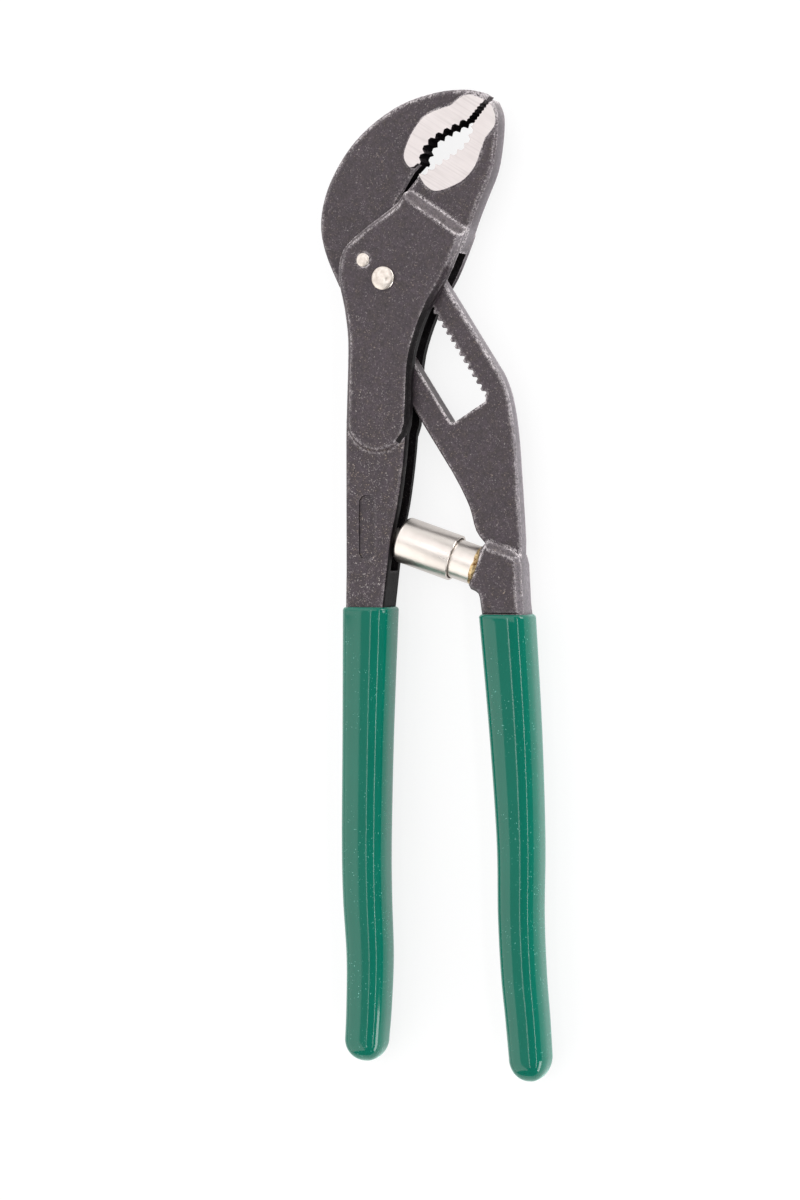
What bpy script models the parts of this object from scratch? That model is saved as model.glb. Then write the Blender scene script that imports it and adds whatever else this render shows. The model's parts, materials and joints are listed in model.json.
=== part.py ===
"""Self-adjusting water pump pliers, 250 mm long, built as they come apart on a bench.

Sizes are in millimetres, in the plane of the pliers: x to the right, y towards the jaws, z up from
the middle of the thickness. The pivot rivet is at x = y = 0. Run it in Blender 4.5.
"""

import math

import bmesh
import bpy
from mathutils import Vector

MM = 0.001

# Fits
RUN_GAP = 0.3
SEAT_GAP = 0.3
CLOSE_GAP = 0.1

# Thicknesses
PLATE_T = 4.9
JAW_T = 6.8
PAD_RISE = 0.35
HANDLE_T = 10.0
BOSS_T = 12.0
BOX_SLOT_T = PLATE_T + 2 * RUN_GAP

# Edges
PLATE_EDGE = 0.5
JAW_EDGE = 0.6
BOSS_EDGE = 1.1
BOSS_BEVEL = 2.3
HANDLE_EDGE = 0.9
HEEL_EDGE = 1.5
HEEL_SLOPE = 1.9
HEEL_SIDE = 1.4
PAD_EDGE = 0.15
BREAK_EDGE = 0.2
PIN_EDGE = 0.3
CUP_R = 0.9

# Pivot rivet, its bush and the stop pin
RIVET_D = 3.6
RIVET_HEAD_D = 5.9
RIVET_DOME_H = 1.1
RIVET_REAR_H = 0.8
BUSH_D = 5.4
STOP_PIN_D = 3.0
STOP_PIN_PROUD = 0.6
STOP_PIN_AT = (-5.4, 4.7)

# Rack slot in the jaw lever. Its own frame has s along the slot, away from the jaws, and n across it.
SLOT_ANGLE = -57.3
SLOT_BACK = 5.65
SLOT_END = 39.9
SLOT_CORNER_R = 0.6
BAR_BACK = 12.0
BAR_FRONT = 11.85
BAR_STRAIGHT = 36.0
RACK_PITCH = 2.1
RACK_TIPS = 5.5
RACK_DEPTH = 0.8
RACK_START = -1.2
PAWL_TEETH = 5
PAWL_TAIL = 4.6
LEVER_SWING = 25.0
CLOSING_SLIDE = 0.6

# Jaw teeth
JAW_PITCH = 2.35
JAW_TOOTH = 0.85
NIP_PITCH = 0.95
NIP_TOOTH = 0.28

# Channel in the body lever
CHANNEL_FLOOR_X = -6.0
CHANNEL_END_Y = -73.4
CHANNEL_END_R = 2.0

# Spring strut, with u along its axis from the closed end of the sleeve
STRUT_AT = (3.0, -65.3)
STRUT_ANGLE = -18.7
SLEEVE_D = 11.8
SLEEVE_L = 15.0
SLEEVE_WALL = 0.6
SLEEVE_END = 1.2
NOSE_D = 4.6
NOSE_L = 3.0
PLUNGER_D = SLEEVE_D - 2 * (SLEEVE_WALL + RUN_GAP)
PLUNGER_WALL = 0.9
PLUNGER_OUT = 6.1
PLUNGER_IN = 10.0
PLUNGER_END = 2.0
TENON_D = 5.4
TENON_L = 4.5
SPRING_WIRE = 1.0
SPRING_TURNS = 7

# Handles and grips
GRIP_WALL = 1.2
GRIP_CORNER_R = 4.0
GRIP_LIP = 0.9
GRIP_END_WALL = 4.0
LEFT_GRIP_END_Y = -198.0
RIGHT_GRIP_END_Y = -200.9

# Recess in the front of the left handle
RECESS_AT = (-4.8, -62.4)
RECESS_W = 4.2
RECESS_L = 16.4
RECESS_DEPTH = 0.5

# Stations down the left handle: y, left edge, right edge
LEFT_SHANK = [(-13.3, -8.9, 7.9), (-23.1, -9.9, 6.8), (-37.0, -10.5, 5.9), (-46.9, -10.5, 5.0),
              (-56.8, -10.5, 3.6), (-64.7, -10.5, 1.9), (-73.6, -10.5, 0.7)]
# Stations down the grips: y, middle, width, thickness
LEFT_GRIP = [(-83.0, -5.5, 13.2, 13.2), (-114.2, -6.2, 12.1, 12.7), (-141.2, -6.6, 11.7, 12.4),
             (-156.2, -6.4, 11.5, 12.2), (-171.3, -5.7, 11.0, 12.0), (-184.3, -6.0, 10.6, 11.7),
             (-192.3, -6.5, 10.3, 11.4)]
RIGHT_GRIP = [(-84.7, 30.8, 13.4, 13.2), (-113.7, 33.0, 12.4, 12.7), (-140.4, 34.4, 11.3, 12.4),
              (-159.2, 34.5, 10.8, 12.2), (-174.0, 35.2, 10.6, 12.0), (-184.8, 36.2, 10.4, 11.7),
              (-194.7, 37.0, 10.1, 11.4)]

# Gripping edges, each from a point on the line of its teeth to the next
LEVER_NOSE = [(25.2, 43.0), (21.3, 38.6)]
LEVER_POCKET = [(21.3, 38.6), (17.0, 36.7), (13.1, 34.8), (10.9, 33.0), (10.0, 30.9), (9.1, 29.0)]
LEVER_MOUTH = [(8.4, 27.6), (9.8, 24.6), (23.4, 32.7), (33.1, 41.8), (28.3, 47.0)]
BODY_POCKET = [(9.1, 26.0), (13.3, 28.5), (17.5, 31.1), (20.1, 32.8), (21.5, 34.9), (22.2, 37.4)]
BODY_NOSE = [(22.2, 37.4), (28.1, 44.7)]
BODY_MOUTH = [(26.0, 49.0), (-0.2, 34.2), (4.7, 26.2)]

# Body lever: the cheek, the fixed jaw with its root, the ground pad, and the mouth of the box joint
BOSS_JAW_SIDE = [(21.2, 11.9), (6.2, 22.2), (5.1, 21.2)]
BOSS_LEFT = [(3.4, 18.8), (0.5, 16.6), (-6.4, 11.8), (-11.2, 7.1), (-12.3, 0.6), (-10.8, -7.0),
             (-9.8, -15.0), (-9.9, -24.9), (-10.2, -34.8)]
BOSS_END_AT = (-1.9, -35.5)
BOSS_END_R = 8.4
BOSS_RIGHT = [(6.7, -32.5), (7.2, -21.7), (9.0, -14.3), (12.2, -6.6), (16.1, -0.1), (19.2, 6.8)]
BODY_JAW_FRONT = [(26.4, 44.1), (19.6, 37.5), (9.8, 27.3), (8.2, 25.3), (5.0, 21.6), (3.2, 18.8)]
BODY_JAW_ROOT = [(5.8, 14.1), (16.7, 3.7)]
BODY_JAW_BACK = [(20.1, 7.6), (22.7, 14.8), (24.7, 19.7), (27.5, 26.4), (28.7, 33.1), (29.1, 39.1),
                 (28.5, 41.9), (27.4, 44.1)]
BODY_PAD_FRONT = [(28.0, 42.1), (26.3, 44.2), (18.5, 37.9), (8.3, 26.9), (8.7, 25.2)]
BODY_PAD_BACK = [(10.1, 23.1), (11.9, 21.8), (13.8, 21.5), (17.0, 22.4), (20.6, 24.2), (23.5, 27.5),
                 (24.9, 31.2), (26.2, 34.4)]
BODY_PAD_TIP = [(28.3, 36.8), (28.8, 38.0), (28.7, 40.2)]
BOX_TOP = [(3.1, 18.6), (1.4, 30.3)]
BOX_MOUTH = [(29.5, -2.4), (18.8, 6.2)]

# Jaw lever: the crescent, the flat part of the handle, the ground pad and the thick shank above the grip
LEVER_THROAT = (6.8, 26.3)
LEVER_JAW_FRONT = [(9.1, 28.6), (22.2, 38.8), (26.5, 44.9)]
CRESCENT = [(25.0, 45.8), (20.3, 46.7), (12.8, 46.3), (3.5, 43.7), (-5.2, 38.3), (-11.6, 31.6),
            (-16.4, 23.0), (-18.2, 14.7), (-17.0, 7.1)]
CRESCENT_END_S = -6.0
THROAT_S = -14.6
LEVER_INNER_S = 50.0
LEVER_INNER = [(19.0, -52.2), (21.5, -57.4), (23.2, -63.2), (25.9, -66.7)]
LEVER_FOOT = [(27.2, -70.4), (35.0, -72.0)]
LEVER_OUTER = [(35.1, -65.5), (34.1, -49.7), (33.1, -37.9), (31.5, -29.0)]
LEVER_PAD_FRONT = [(25.0, 44.4), (27.3, 43.2), (22.4, 36.6), (11.7, 27.1), (8.3, 28.5)]
LEVER_PAD_BACK = [(7.3, 27.7), (6.0, 27.7), (4.8, 29.3), (4.6, 31.5), (6.3, 35.7), (9.3, 39.8),
                  (12.6, 41.6), (16.8, 42.8)]
LEVER_PAD_TIP = [(18.5, 44.1), (20.3, 45.2), (22.2, 45.4)]
RIGHT_SHANK_LOW = [(24.3, -78.9), (24.9, -81.7)]
RIGHT_SHANK_HIGH = [(35.9, -81.3), (35.6, -75.4), (35.4, -71.6)]
RIGHT_SHANK_CORNER = [(34.8, -69.3), (33.0, -67.9)]
RIGHT_SHANK_TOP = (26.6, -65.7)

MID_Z = BOSS_T / 2 + RIVET_REAR_H
SLOT_DIR = (math.cos(math.radians(SLOT_ANGLE)), math.sin(math.radians(SLOT_ANGLE)))
STOP_PIN_S = STOP_PIN_AT[0] * SLOT_DIR[0] + STOP_PIN_AT[1] * SLOT_DIR[1]
SLOT_TOP = STOP_PIN_S - STOP_PIN_D / 2 - CLOSING_SLIDE - SEAT_GAP
STRUT_DIR = (math.cos(math.radians(STRUT_ANGLE)), math.sin(math.radians(STRUT_ANGLE)))
STRUT_SEAT = SLEEVE_L + PLUNGER_OUT


def in_slot(s, n):
    """The point at s along the rack slot and n across it, towards the rack."""
    return (s * SLOT_DIR[0] - n * SLOT_DIR[1], s * SLOT_DIR[1] + n * SLOT_DIR[0])


def on_strut(u, w):
    """The point at u along the strut and w across it, towards the jaws."""
    x = STRUT_AT[0] + u * STRUT_DIR[0] - w * STRUT_DIR[1]
    y = STRUT_AT[1] + u * STRUT_DIR[1] + w * STRUT_DIR[0]
    return (x, y)


def smooth(points, steps=4):
    """A curve through the points, which may be of any number of values each."""
    ends = [points[0]] + list(points) + [points[-1]]
    curve = []
    for before, start, stop, after in zip(ends, ends[1:], ends[2:], ends[3:]):
        for step in range(steps):
            t = step / steps
            point = []
            for a, b, c, d in zip(before, start, stop, after):
                bend = (2 * a - 5 * b + 4 * c - d) * t ** 2 + (3 * b - a - 3 * c + d) * t ** 3
                point.append(b + 0.5 * ((c - a) * t + bend))
            curve.append(tuple(point))
    return curve + [tuple(points[-1])]


def arc(centre, radius, first, last, steps):
    """Points on a circle from one angle to another, in degrees."""
    angles = [math.radians(first + (last - first) * step / steps) for step in range(steps + 1)]
    return [(centre[0] + radius * math.cos(a), centre[1] + radius * math.sin(a)) for a in angles]


def inset(outline, distance):
    """The outline drawn in by a distance, or by one distance for each edge that leaves a point."""
    count = len(outline)
    gaps = distance if isinstance(distance, list) else [distance] * count
    area = sum(a[0] * b[1] - b[0] * a[1] for a, b in zip(outline, outline[1:] + outline[:1]))
    side = 1 if area > 0 else -1
    drawn = []
    for i, point in enumerate(outline):
        into = Vector(point) - Vector(outline[i - 1])
        out = Vector(outline[(i + 1) % count]) - Vector(point)
        n1 = Vector((-into.y, into.x)).normalized() * side
        n2 = Vector((-out.y, out.x)).normalized() * side
        g1, g2 = gaps[i - 1], gaps[i]
        cross = n1.x * n2.y - n1.y * n2.x
        if abs(cross) < 0.15:
            move = (n1 + n2).normalized() * (g1 + g2) / 2
        else:
            move = Vector(((g1 * n2.y - g2 * n1.y) / cross, (g2 * n1.x - g1 * n2.x) / cross))
        limit = 2.2 * max(g1, g2)
        if move.length > limit:
            move *= limit / move.length
        drawn.append((point[0] + move.x, point[1] + move.y))
    return drawn


def finish(name, rough):
    """An object with a clean mesh, its faces turned outwards."""
    bmesh.ops.remove_doubles(rough, verts=rough.verts, dist=1e-6)
    bmesh.ops.recalc_face_normals(rough, faces=rough.faces)
    mesh = bpy.data.meshes.new(name)
    rough.to_mesh(mesh)
    rough.free()
    made = bpy.data.objects.new(name, mesh)
    bpy.context.scene.collection.objects.link(made)
    return made


def skin(name, rings, closed_ends=True):
    """A solid through rings of points, each ring joined to the next."""
    rough = bmesh.new()
    loops = [[rough.verts.new(Vector(point) * MM) for point in ring] for ring in rings]
    pairs = list(zip(loops, loops[1:]))
    if not closed_ends:
        pairs.append((loops[-1], loops[0]))
    for low, high in pairs:
        for i in range(len(low)):
            j = (i + 1) % len(low)
            rough.faces.new((low[i], low[j], high[j], high[i]))
    if closed_ends:
        rough.faces.new(loops[0])
        rough.faces.new(loops[-1])
    return finish(name, rough)


def stack(name, layers):
    """A solid through flat outlines, each given with its height."""
    return skin(name, [[(x, y, z) for x, y in outline] for outline, z in layers])


def forged(name, outline, thickness, edge):
    """A plate about the middle plane, with its edges chamfered."""
    half = thickness / 2
    drawn = inset(outline, edge)
    return stack(name, [(drawn, -half), (outline, edge - half), (outline, half - edge), (drawn, half)])


def cutter(name, outline, low, high):
    return stack(name, [(outline, low), (outline, high)])


def turned(name, profile, axis, steps=40):
    """A solid of revolution from (along, radius) points, about X or Z."""
    rings = []
    for along, radius in profile:
        ring = []
        for step in range(steps):
            angle = 2 * math.pi * step / steps
            a, b = radius * math.cos(angle), radius * math.sin(angle)
            ring.append((along, a, b) if axis == "X" else (a, b, along))
        rings.append(ring)
    return skin(name, rings)


def combine(body, tool, operation):
    """Adds the tool to the body, or cuts it away, and leaves one mesh."""
    modifier = body.modifiers.new(tool.name, "BOOLEAN")
    modifier.operation = operation
    modifier.solver = "EXACT"
    modifier.object = tool
    bpy.context.view_layer.update()
    graph = bpy.context.evaluated_depsgraph_get()
    result = bpy.data.meshes.new_from_object(body.evaluated_get(graph))
    body.modifiers.clear()
    body.data = result
    bpy.data.objects.remove(tool)


def section(middle, y, width, thickness, corner, steps=5):
    """A level ring round a handle: a rectangle with round corners."""
    a, b = width / 2, thickness / 2
    r = min(corner, a * 0.98, b * 0.98)
    ring = []
    for turn, (sx, sz) in enumerate(((1, 1), (-1, 1), (-1, -1), (1, -1))):
        for x, z in arc((sx * (a - r), sz * (b - r)), r, 90 * turn, 90 * turn + 90, steps):
            ring.append((middle + x, y, z))
    return ring


def toothed(path, pitch, depth):
    """Teeth along a path of points, cut to the right of its direction."""
    lengths = [0.0]
    for a, b in zip(path, path[1:]):
        lengths.append(lengths[-1] + math.dist(a, b))
    count = max(1, round(lengths[-1] / pitch))
    cut = []
    for tooth in range(count):
        for share, drop in ((0.0, 0.0), (0.32, 1.0), (0.68, 1.0)):
            goal = lengths[-1] * (tooth + share) / count
            k = max(i for i in range(len(path) - 1) if lengths[i] <= goal)
            t = (goal - lengths[k]) / (lengths[k + 1] - lengths[k])
            a, b = Vector(path[k]), Vector(path[k + 1])
            right = Vector((b.y - a.y, a.x - b.x)).normalized()
            point = a.lerp(b, t) + right * depth * drop
            cut.append((point.x, point.y))
    return cut + [tuple(path[-1])]


def grip_section(stations, y, less, corner):
    """The grip's ring at y, smaller all round by less, with its own corner radius."""
    curve = smooth(stations, 7)
    y_on = min(max(y, curve[-1][0]), curve[0][0])
    for high, low in zip(curve, curve[1:]):
        if low[0] <= y_on <= high[0]:
            t = (high[0] - y_on) / (high[0] - low[0])
            middle, width, thickness = (h + (l - h) * t for h, l in zip(high[1:], low[1:]))
    return section(middle, y, width - 2 * less, thickness - 2 * less, corner)


def shrunk(ring, share):
    """The ring drawn in about its own middle."""
    middle = sum((Vector(point) for point in ring), Vector()) / len(ring)
    return [tuple(middle.lerp(Vector(point), share)) for point in ring]


def domed_end(stations, end_y, less, corner, angles=(25, 48, 68)):
    """Rings that close a grip, or the hollow in it, with a round end."""
    last = stations[-1]
    depth = last[0] - end_y
    rings = []
    for angle in angles:
        ring = grip_section(stations, last[0], less, corner)
        drop = depth * math.sin(math.radians(angle))
        small = shrunk(ring, math.cos(math.radians(angle)))
        rings.append([(x, y - drop, z) for x, y, z in small])
    return rings


def grip_levels(stations, first):
    """The heights of a grip's rings, from the first down to the last station."""
    last = stations[-1][0]
    count = 12
    return [first + (last - first) * step / count for step in range(count + 1)]


def grip(name, stations, end_y):
    """A dipped sleeve with a round lip, open at the top."""
    top = stations[0][0]
    inner_end = end_y + GRIP_END_WALL
    bore_r = HANDLE_EDGE + SEAT_GAP
    hollow = [grip_section(stations, y, GRIP_WALL, bore_r) for y in grip_levels(stations, top)]
    hollow += domed_end(stations, inner_end, GRIP_WALL, bore_r)
    lip = []
    for less, drop in ((GRIP_LIP, 0.0), (0.3 * GRIP_LIP, 0.3 * GRIP_LIP)):
        ring = grip_section(stations, top, less, GRIP_CORNER_R - less)
        lip.append([(x, y - drop, z) for x, y, z in ring])
    outside = [grip_section(stations, y, 0, GRIP_CORNER_R) for y in grip_levels(stations, top - GRIP_LIP)]
    outside += domed_end(stations, end_y, 0, GRIP_CORNER_R, (18, 36, 54, 70, 81))
    return skin(name, hollow[::-1] + lip + outside)


def tang(stations, end_y):
    """The rings of a handle inside its grip."""
    less = GRIP_WALL + SEAT_GAP
    end = end_y + GRIP_END_WALL + SEAT_GAP
    rings = [grip_section(stations, y, less, HANDLE_EDGE) for y in grip_levels(stations, stations[0][0])]
    return rings + domed_end(stations, end, less, HANDLE_EDGE)


def lever_jaw_edge():
    """The gripping edge of the jaw lever, from the nose to the throat, material on its right."""
    nose = toothed(LEVER_NOSE, NIP_PITCH, NIP_TOOTH)
    return nose[:-1] + toothed(smooth(LEVER_POCKET, 3), JAW_PITCH, JAW_TOOTH)


def body_jaw_edge():
    """The gripping edge of the body lever, from the throat to the nose, material on its right."""
    pocket = toothed(smooth(BODY_POCKET, 3), JAW_PITCH, JAW_TOOTH)
    return pocket[:-1] + toothed(BODY_NOSE, NIP_PITCH, NIP_TOOTH)


def box_slot():
    """The space between the cheeks that the jaw lever swings in, with the channel below it."""
    clear = BAR_BACK + 2 * RUN_GAP
    floor = CHANNEL_FLOOR_X
    half_swing = math.radians(LEVER_SWING / 2)
    heel = in_slot(clear * math.tan(half_swing), -clear)
    swung = math.radians(SLOT_ANGLE + LEVER_SWING)
    side = (heel[0] - 2 * BAR_BACK * math.cos(swung), heel[1] - 2 * BAR_BACK * math.sin(swung))
    down = (floor - heel[0]) / SLOT_DIR[0]
    foot = [(floor, heel[1] + down * SLOT_DIR[1])]
    foot += arc((floor + CHANNEL_END_R, CHANNEL_END_Y + CHANNEL_END_R), CHANNEL_END_R, 180, 270, 4)
    throat = BOX_TOP + [(side[0], BOX_TOP[-1][1]), side, heel]
    return throat + foot + [(BOX_MOUTH[0][0], CHANNEL_END_Y)] + BOX_MOUTH


def boss_outline():
    """The cheek's outline and, for each edge, whether it is the bevelled one at the jaw."""
    end = arc(BOSS_END_AT, BOSS_END_R, 184, 352, 9)
    outline = BOSS_JAW_SIDE + smooth(BOSS_LEFT, 3) + end + smooth(BOSS_RIGHT, 3)
    return outline, [i == 0 for i in range(len(outline))]


def body_jaw_outline():
    """The fixed jaw, past its teeth, and the root that the cheeks carry."""
    return BODY_JAW_FRONT + BODY_JAW_ROOT + smooth(BODY_JAW_BACK, 3)


def body_lever():
    """Left handle, box joint and fixed jaw in one forging."""
    body = forged("body_lever", body_jaw_outline(), JAW_T, JAW_EDGE)
    pad = BODY_PAD_FRONT + smooth(BODY_PAD_BACK, 3) + smooth(BODY_PAD_TIP, 2)
    combine(body, forged("pad", pad, JAW_T + 2 * PAD_RISE, PAD_EDGE), "UNION")
    combine(body, cutter("teeth", body_jaw_edge() + BODY_MOUTH, -BOSS_T, BOSS_T), "DIFFERENCE")

    outline, at_jaw = boss_outline()
    layers = []
    for height in (JAW_T / 2, BOSS_T / 2 - BOSS_EDGE, BOSS_T / 2):
        bevel = BOSS_BEVEL * (height - JAW_T / 2) / (BOSS_T / 2 - JAW_T / 2)
        edge = max(0.0, height - BOSS_T / 2 + BOSS_EDGE)
        slope = [bevel if jaw else edge for jaw in at_jaw]
        layers.append((inset(outline, slope), height))
    layers = [(points, -height) for points, height in layers[::-1]] + layers
    combine(body, stack("boss", layers), "UNION")

    shank = []
    for y, left, right in smooth(LEFT_SHANK, 3):
        shank.append(section((left + right) / 2, y, right - left, HANDLE_T, HANDLE_EDGE))
    combine(body, skin("shank", shank + tang(LEFT_GRIP, LEFT_GRIP_END_Y)), "UNION")

    half = BOX_SLOT_T / 2
    combine(body, cutter("box_slot", box_slot(), -half, half), "DIFFERENCE")
    for name, at, size in (("rivet_hole", (0, 0), RIVET_D), ("pin_hole", STOP_PIN_AT, STOP_PIN_D)):
        hole = arc(at, size / 2 + RUN_GAP / 2, 0, 351, 39)
        combine(body, cutter(name, hole, -BOSS_T, BOSS_T), "DIFFERENCE")
    straight = RECESS_L / 2 - RECESS_W / 2
    recess = arc((RECESS_AT[0], RECESS_AT[1] + straight), RECESS_W / 2, 0, 180, 10)
    recess += arc((RECESS_AT[0], RECESS_AT[1] - straight), RECESS_W / 2, 180, 360, 10)
    face = HANDLE_T / 2
    combine(body, cutter("recess", recess, face - RECESS_DEPTH, face + RECESS_W), "DIFFERENCE")
    return body


def jaw_lever_outline():
    """Crescent jaw, rack bar and the flat part of the right handle."""
    throat = [in_slot(THROAT_S, BAR_FRONT), LEVER_THROAT]
    crescent = smooth(CRESCENT + [in_slot(CRESCENT_END_S, -BAR_BACK)], 4)
    inner = [in_slot(LEVER_INNER_S, -BAR_BACK)] + smooth(LEVER_INNER, 3)
    outer = smooth(LEVER_OUTER + [in_slot(BAR_STRAIGHT, BAR_FRONT)], 3)
    return throat + LEVER_JAW_FRONT + crescent + inner + LEVER_FOOT + outer


def jaw_lever():
    """Moving jaw, rack bar and right handle in one forging."""
    lever = forged("jaw_lever", jaw_lever_outline(), PLATE_T, PLATE_EDGE)
    pad = LEVER_PAD_FRONT + smooth(LEVER_PAD_BACK, 3) + smooth(LEVER_PAD_TIP, 2)
    combine(lever, forged("pad", pad, JAW_T + 2 * PAD_RISE, PAD_EDGE), "UNION")
    combine(lever, cutter("teeth", lever_jaw_edge() + LEVER_MOUTH, -BOSS_T, BOSS_T), "DIFFERENCE")

    seat = STRUT_SEAT + SEAT_GAP
    reach = PLUNGER_D / 2 - BREAK_EDGE
    shoulder = [on_strut(seat, reach), on_strut(seat, -reach)]
    low = smooth([on_strut(seat + 3 * SEAT_GAP, -PLUNGER_D / 2 - 2 * SEAT_GAP)] + RIGHT_SHANK_LOW, 3)
    foot, middle, width = RIGHT_GRIP[0][:3]
    inside_half = width / 2 - GRIP_WALL
    heel = [(middle + side * inside_half, foot + SEAT_GAP) for side in (-1, 1)]
    high = smooth(RIGHT_SHANK_HIGH, 3)
    outline = shoulder + low + heel + high + RIGHT_SHANK_CORNER + [RIGHT_SHANK_TOP]
    half = HANDLE_T / 2
    roof = len(outline) - 2
    side = range(roof - len(high) - 2, roof)
    slope = [HEEL_SIDE if edge in side else HANDLE_EDGE for edge in range(len(outline))]
    slope[roof] = HEEL_SLOPE
    drawn = inset(outline, slope)
    layers = [(drawn, -half), (outline, HEEL_EDGE - half), (outline, half - HEEL_EDGE), (drawn, half)]
    combine(lever, stack("shank", layers), "UNION")
    inside = tang(RIGHT_GRIP, RIGHT_GRIP_END_Y)
    start = [(x, y + GRIP_LIP, z) for x, y, z in shrunk(inside[0], 0.97)]
    combine(lever, skin("tang", [start] + inside), "UNION")

    combine(lever, cutter("rack_slot", rack_slot(), -BOSS_T, BOSS_T), "DIFFERENCE")
    bore_r = TENON_D / 2 + SEAT_GAP
    bore = turned("tenon_bore", [(0, bore_r), (TENON_L + 2 * SEAT_GAP, bore_r)], "X", 24)
    bore.location = Vector((*on_strut(STRUT_SEAT, 0), 0)) * MM
    bore.rotation_euler.z = math.radians(STRUT_ANGLE)
    combine(lever, bore, "DIFFERENCE")
    return lever


def rack_teeth(first, last, base, depth):
    """Rack teeth as (s, n) points with rising s: flat tips at base, valleys at base + depth."""
    points = []
    s = first
    while s + RACK_PITCH <= last:
        points += [(s + 0.30 * RACK_PITCH, base), (s + 0.52 * RACK_PITCH, base + depth),
                   (s + 0.78 * RACK_PITCH, base + depth), (s + RACK_PITCH, base)]
        s += RACK_PITCH
    return points


def rack_slot():
    """The slot in the jaw lever, with its rack on the outer edge."""
    r = SLOT_CORNER_R
    teeth = rack_teeth(RACK_START, SLOT_END - r, RACK_TIPS, RACK_DEPTH)
    around = [(SLOT_TOP + r, -SLOT_BACK), (SLOT_END - r, -SLOT_BACK), (SLOT_END, r - SLOT_BACK)]
    around += [(SLOT_END, RACK_TIPS - r), (SLOT_END - r, RACK_TIPS)] + teeth[::-1]
    around += [(SLOT_TOP + r, RACK_TIPS), (SLOT_TOP, RACK_TIPS - r), (SLOT_TOP, r - SLOT_BACK)]
    return [in_slot(s, n) for s, n in around]


def rack_pawl():
    """Toothed block on the pivot bush, which slides in the rack slot."""
    back = RUN_GAP - SLOT_BACK
    tips = RACK_TIPS - RUN_GAP
    first = RACK_START + RACK_PITCH * round((RACK_PITCH / 2 - PAWL_TAIL - RACK_START) / RACK_PITCH)
    around = [(-PAWL_TAIL, tips - RACK_DEPTH), (-PAWL_TAIL, back + SLOT_CORNER_R)]
    around += [(SLOT_CORNER_R - PAWL_TAIL, back)]
    nose = first + (PAWL_TEETH + 0.24) * RACK_PITCH
    around += [(nose - SLOT_CORNER_R, back), (nose, back + SLOT_CORNER_R), (nose, tips - RACK_DEPTH)]
    teeth = []
    for tooth in range(PAWL_TEETH):
        s = first + tooth * RACK_PITCH
        teeth += [(s + 0.40 * RACK_PITCH, tips - RACK_DEPTH), (s + 0.58 * RACK_PITCH, tips),
                  (s + 0.72 * RACK_PITCH, tips), (s + 0.90 * RACK_PITCH, tips - RACK_DEPTH)]
    outline = [in_slot(s, n) for s, n in around + teeth[::-1]]
    half = PLATE_T / 2
    pawl = cutter("rack_pawl", outline, -half, half)
    bore = arc((0, 0), BUSH_D / 2 + RUN_GAP, 0, 351, 39)
    combine(pawl, cutter("bore", bore, -BOSS_T, BOSS_T), "DIFFERENCE")
    return pawl


def pivot_bush():
    """Spacer on the rivet, which keeps the cheeks from pinching the jaw lever."""
    half = BOX_SLOT_T / 2 - CLOSE_GAP
    inner = RIVET_D / 2 + RUN_GAP / 2
    outer, edge = BUSH_D / 2, BREAK_EDGE
    profile = [(-half, inner), (-half, outer - edge), (edge - half, outer)]
    profile += [(half - edge, outer), (half, outer - edge), (half, inner)]
    rings = []
    for along, radius in profile:
        rings.append([(x, y, along) for x, y in arc((0, 0), radius, 0, 351, 39)])
    return skin("pivot_bush", rings, closed_ends=False)


def pivot_rivet():
    """Rivet with a domed front head and a flat rear head."""
    face = BOSS_T / 2 + CLOSE_GAP
    rear = -BOSS_T / 2 - RIVET_REAR_H
    shank, head = RIVET_D / 2, RIVET_HEAD_D / 2
    rim = 0.45 * RIVET_DOME_H
    dome = []
    for angle in (0, 22, 45, 67, 84):
        rise = (RIVET_DOME_H - CLOSE_GAP - rim) * math.sin(math.radians(angle))
        dome.append((face + rim + rise, head * math.cos(math.radians(angle))))
    edge = PIN_EDGE
    profile = [(rear, head - edge), (rear + edge, head), (-face, head), (-face, shank)]
    profile += [(face, shank), (face, head)]
    return turned("pivot_rivet", profile + dome, "Z")


def stop_pin():
    """Small pin through both cheeks, which the upper end of the rack slot comes up against."""
    radius = STOP_PIN_D / 2
    top = BOSS_T / 2 + STOP_PIN_PROUD
    low = -BOSS_T / 2 - 0.5 * STOP_PIN_PROUD
    edge = PIN_EDGE
    profile = [(low, radius - edge), (low + edge, radius), (top - 1.5 * edge, radius)]
    profile += [(top - 0.5 * edge, 0.8 * radius), (top, 0.4 * radius)]
    pin = turned("stop_pin", profile, "Z", 28)
    pin.location = Vector((*STOP_PIN_AT, 0)) * MM
    return pin


def on_strut_axis(piece):
    piece.location = Vector((*STRUT_AT, 0)) * MM
    piece.rotation_euler.z = math.radians(STRUT_ANGLE)
    return piece


def strut_sleeve():
    """Drawn cup that slides over the plunger, with a nose that runs in the channel."""
    r, bore = SLEEVE_D / 2, SLEEVE_D / 2 - SLEEVE_WALL
    nose = NOSE_D / 2
    profile = [(-NOSE_L, 0.5 * nose), (-0.8 * NOSE_L, 0.9 * nose), (-0.6 * NOSE_L, nose), (0, nose)]
    profile += [(0, r - CUP_R), (0.28 * CUP_R, r - 0.33 * CUP_R), (CUP_R, r)]
    profile += [(SLEEVE_L - BREAK_EDGE, r), (SLEEVE_L, r - BREAK_EDGE)]
    profile += [(SLEEVE_L, bore), (SLEEVE_END, bore)]
    return on_strut_axis(turned("strut_sleeve", profile, "X", 48))


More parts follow.
